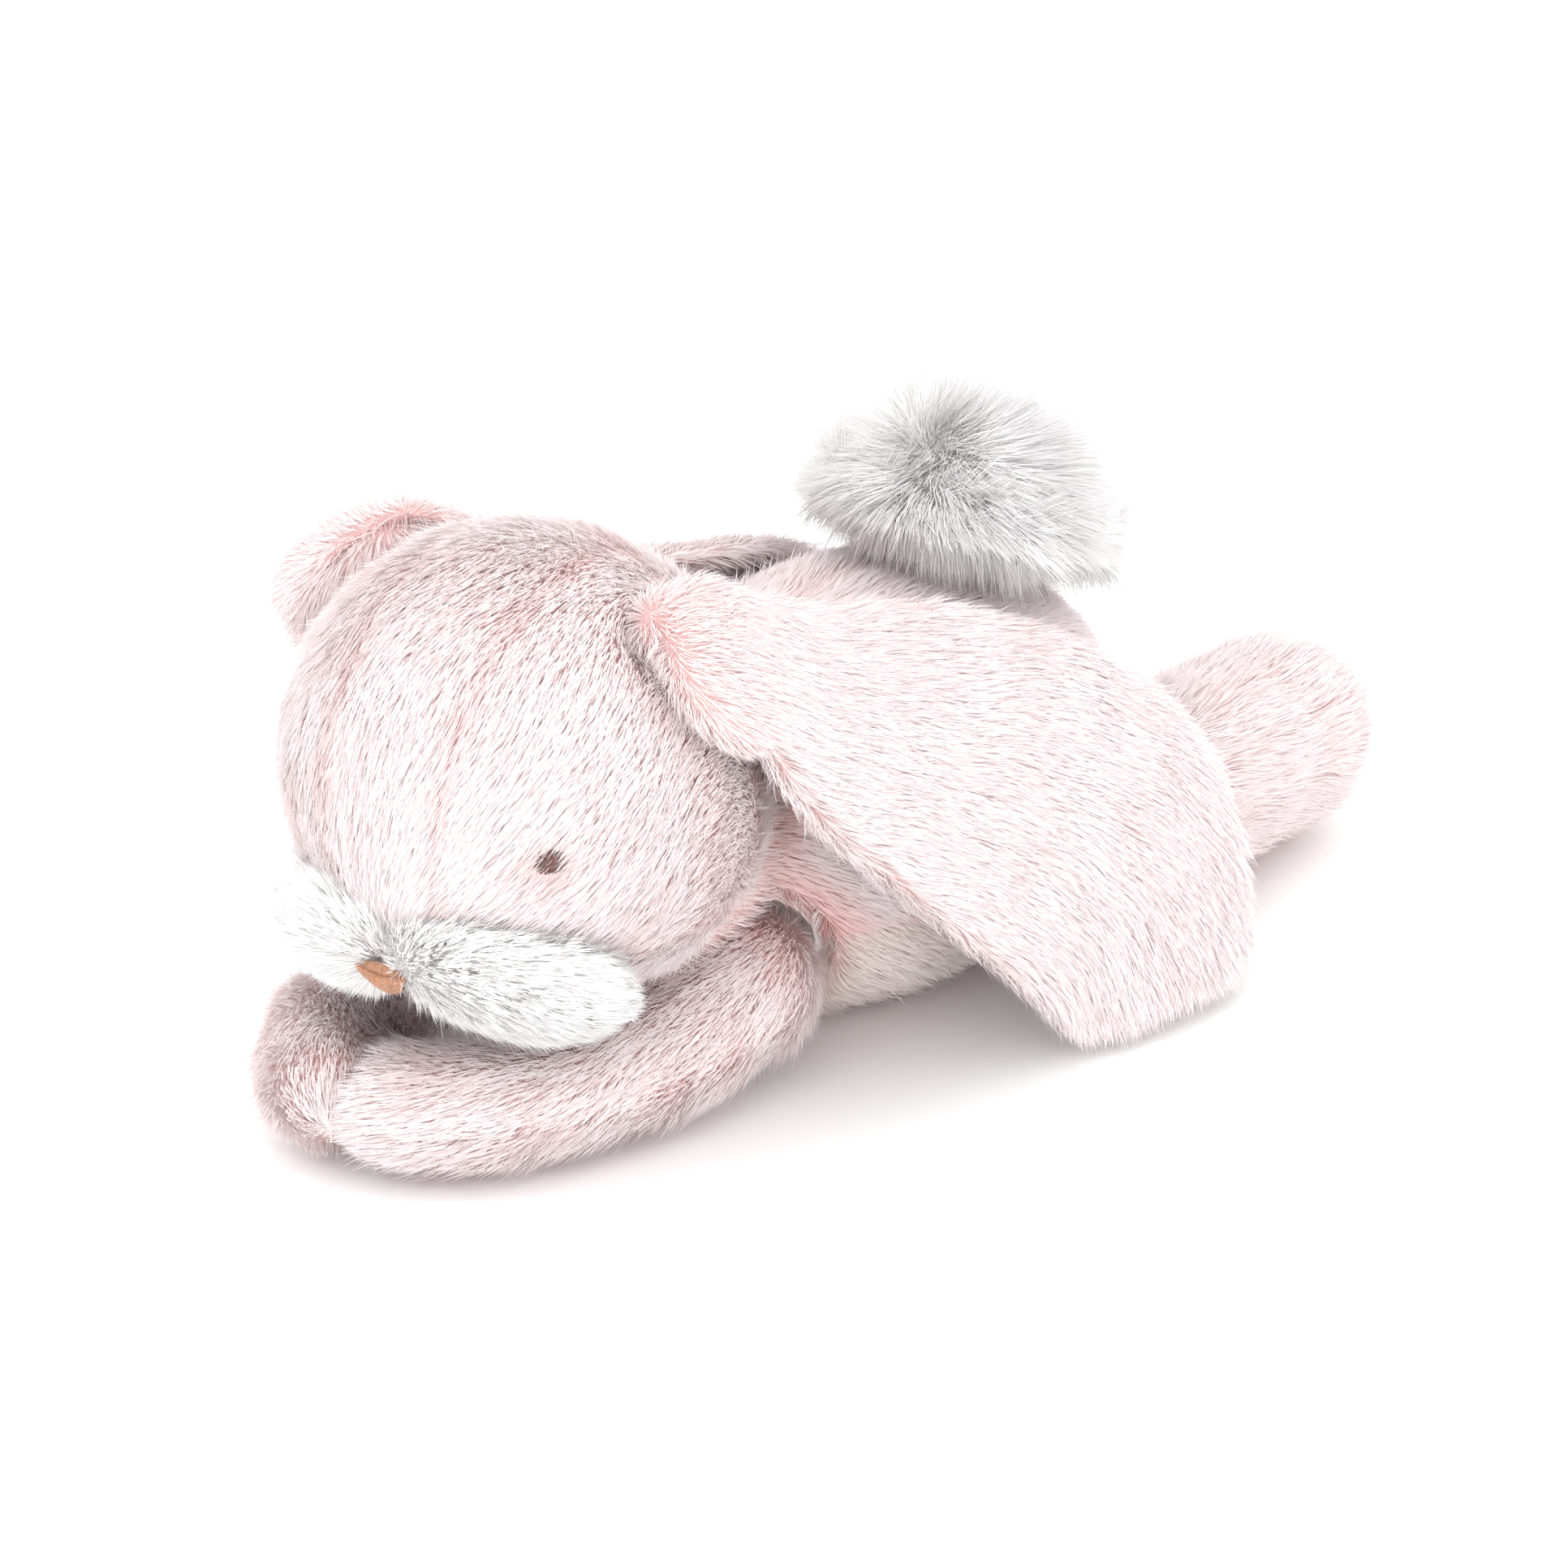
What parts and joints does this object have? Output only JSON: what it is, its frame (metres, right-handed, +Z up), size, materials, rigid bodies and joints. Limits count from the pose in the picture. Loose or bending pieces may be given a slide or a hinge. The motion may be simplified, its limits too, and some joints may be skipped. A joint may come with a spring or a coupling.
{
  "type": "stuffed bunny rabbit",
  "caption": "Pink plush bunny lying on its belly, chin on folded arms, with long lop ears over its back, white muzzle and belly, and a fluffy white pompom tail.",
  "frame": {"origin": "middle of the footprint, on the surface the toy lies on", "axes": "+Z up, the face looks along -Y, the tail and feet point to +Y, and the toy's left side is +X"},
  "size_m": [0.2038, 0.4088, 0.1815],
  "materials": {
    "pink_plush": "matte",
    "cream_plush": "matte",
    "white_plush": "matte",
    "white_long_plush": "matte",
    "ear_lining_plush": "matte",
    "nose_thread": "satin",
    "eye_thread": "satin",
    "fibre_fill": "matte",
    "bag_linen": "matte"
  },
  "bodies": {
    "torso": {"back_panel_left": "pink_plush", "back_panel_right": "pink_plush", "belly_panel": "cream_plush", "body_stuffing": "fibre_fill", "pellet_bag": "bag_linen"},
    "head": {"forehead_gusset": "pink_plush", "cheek_panel_left": "pink_plush", "cheek_panel_right": "pink_plush", "head_back_panel": "pink_plush", "chin_panel": "pink_plush", "head_stuffing": "fibre_fill", "muzzle_left": "white_plush", "muzzle_right": "white_plush", "nose": "nose_thread", "eye_left": "eye_thread", "eye_right": "eye_thread"},
    "ear_left_base": {"ear_left_root": "pink_plush"},
    "ear_left_flap": {"ear_left_outer": "pink_plush", "ear_left_lining": "ear_lining_plush"},
    "ear_right_base": {"ear_right_root": "pink_plush"},
    "ear_right_flap": {"ear_right_outer": "pink_plush", "ear_right_lining": "ear_lining_plush"},
    "arm_left": {"arm_left_upper": "pink_plush", "arm_left_lower": "pink_plush", "arm_left_stuffing": "fibre_fill"},
    "arm_right": {"arm_right_upper": "pink_plush", "arm_right_lower": "pink_plush", "arm_right_stuffing": "fibre_fill"},
    "leg_left": {"leg_left_upper": "pink_plush", "leg_left_lower": "pink_plush", "leg_left_stuffing": "fibre_fill"},
    "leg_right": {"leg_right_upper": "pink_plush", "leg_right_lower": "pink_plush", "leg_right_stuffing": "fibre_fill"},
    "tail": {"tail_cover": "white_long_plush", "tail_stuffing": "fibre_fill"}
  },
  "joints": [
    {"name": "head_nod", "type": "hinge", "parent": "torso", "child": "head", "pos_m": [-0.00263, -0.08692, 0.142], "axis": [-0.9816, -0.1908, 0], "range_deg": [0, 15]},
    {"name": "ear_left_trail", "type": "hinge", "parent": "head", "child": "ear_left_base", "pos_m": [0.0537, -0.11468, 0.1625], "axis": [-0.9816, -0.1908, 0], "range_deg": [-16, 1]},
    {"name": "ear_right_trail", "type": "hinge", "parent": "head", "child": "ear_right_base", "pos_m": [-0.04446, -0.13376, 0.1625], "axis": [-0.9816, -0.1908, 0], "range_deg": [-16, 1]},
    {"name": "ear_left_lift", "type": "hinge", "parent": "ear_left_base", "child": "ear_left_flap", "pos_m": [0.0537, -0.11468, 0.1625], "axis": [1, 0, 0], "range_deg": [0, 60]},
    {"name": "ear_right_lift", "type": "hinge", "parent": "ear_right_base", "child": "ear_right_flap", "pos_m": [-0.04446, -0.13376, 0.1625], "axis": [1, 0, 0], "range_deg": [0, 60]},
    {"name": "arm_left_swing", "type": "hinge", "parent": "torso", "child": "arm_left", "pos_m": [0.036, -0.07219, 0.034], "axis": [0, 0, 1], "range_deg": [0, 30]},
    {"name": "arm_right_swing", "type": "hinge", "parent": "torso", "child": "arm_right", "pos_m": [-0.04, -0.07619, 0.034], "axis": [0, 0, -1], "range_deg": [0, 30]},
    {"name": "leg_left_swing", "type": "hinge", "parent": "torso", "child": "leg_left", "pos_m": [0.04, 0.08181, 0.034], "axis": [0, 0, -1], "range_deg": [0, 15]},
    {"name": "leg_right_swing", "type": "hinge", "parent": "torso", "child": "leg_right", "pos_m": [-0.041, 0.06981, 0.034], "axis": [0, 0, 1], "range_deg": [0, 15]},
    {"name": "tail_rock", "type": "hinge", "parent": "torso", "child": "tail", "pos_m": [0, 0.05047, 0.12493], "axis": [1, 0, 0], "range_deg": [-10, 10], "stiffness_Nm_per_rad": 0.4}
  ],
  "couplings": [
    {"joint": "ear_left_trail", "follows": "head_nod", "ratio": -1},
    {"joint": "ear_right_trail", "follows": "head_nod", "ratio": -1}
  ]
}
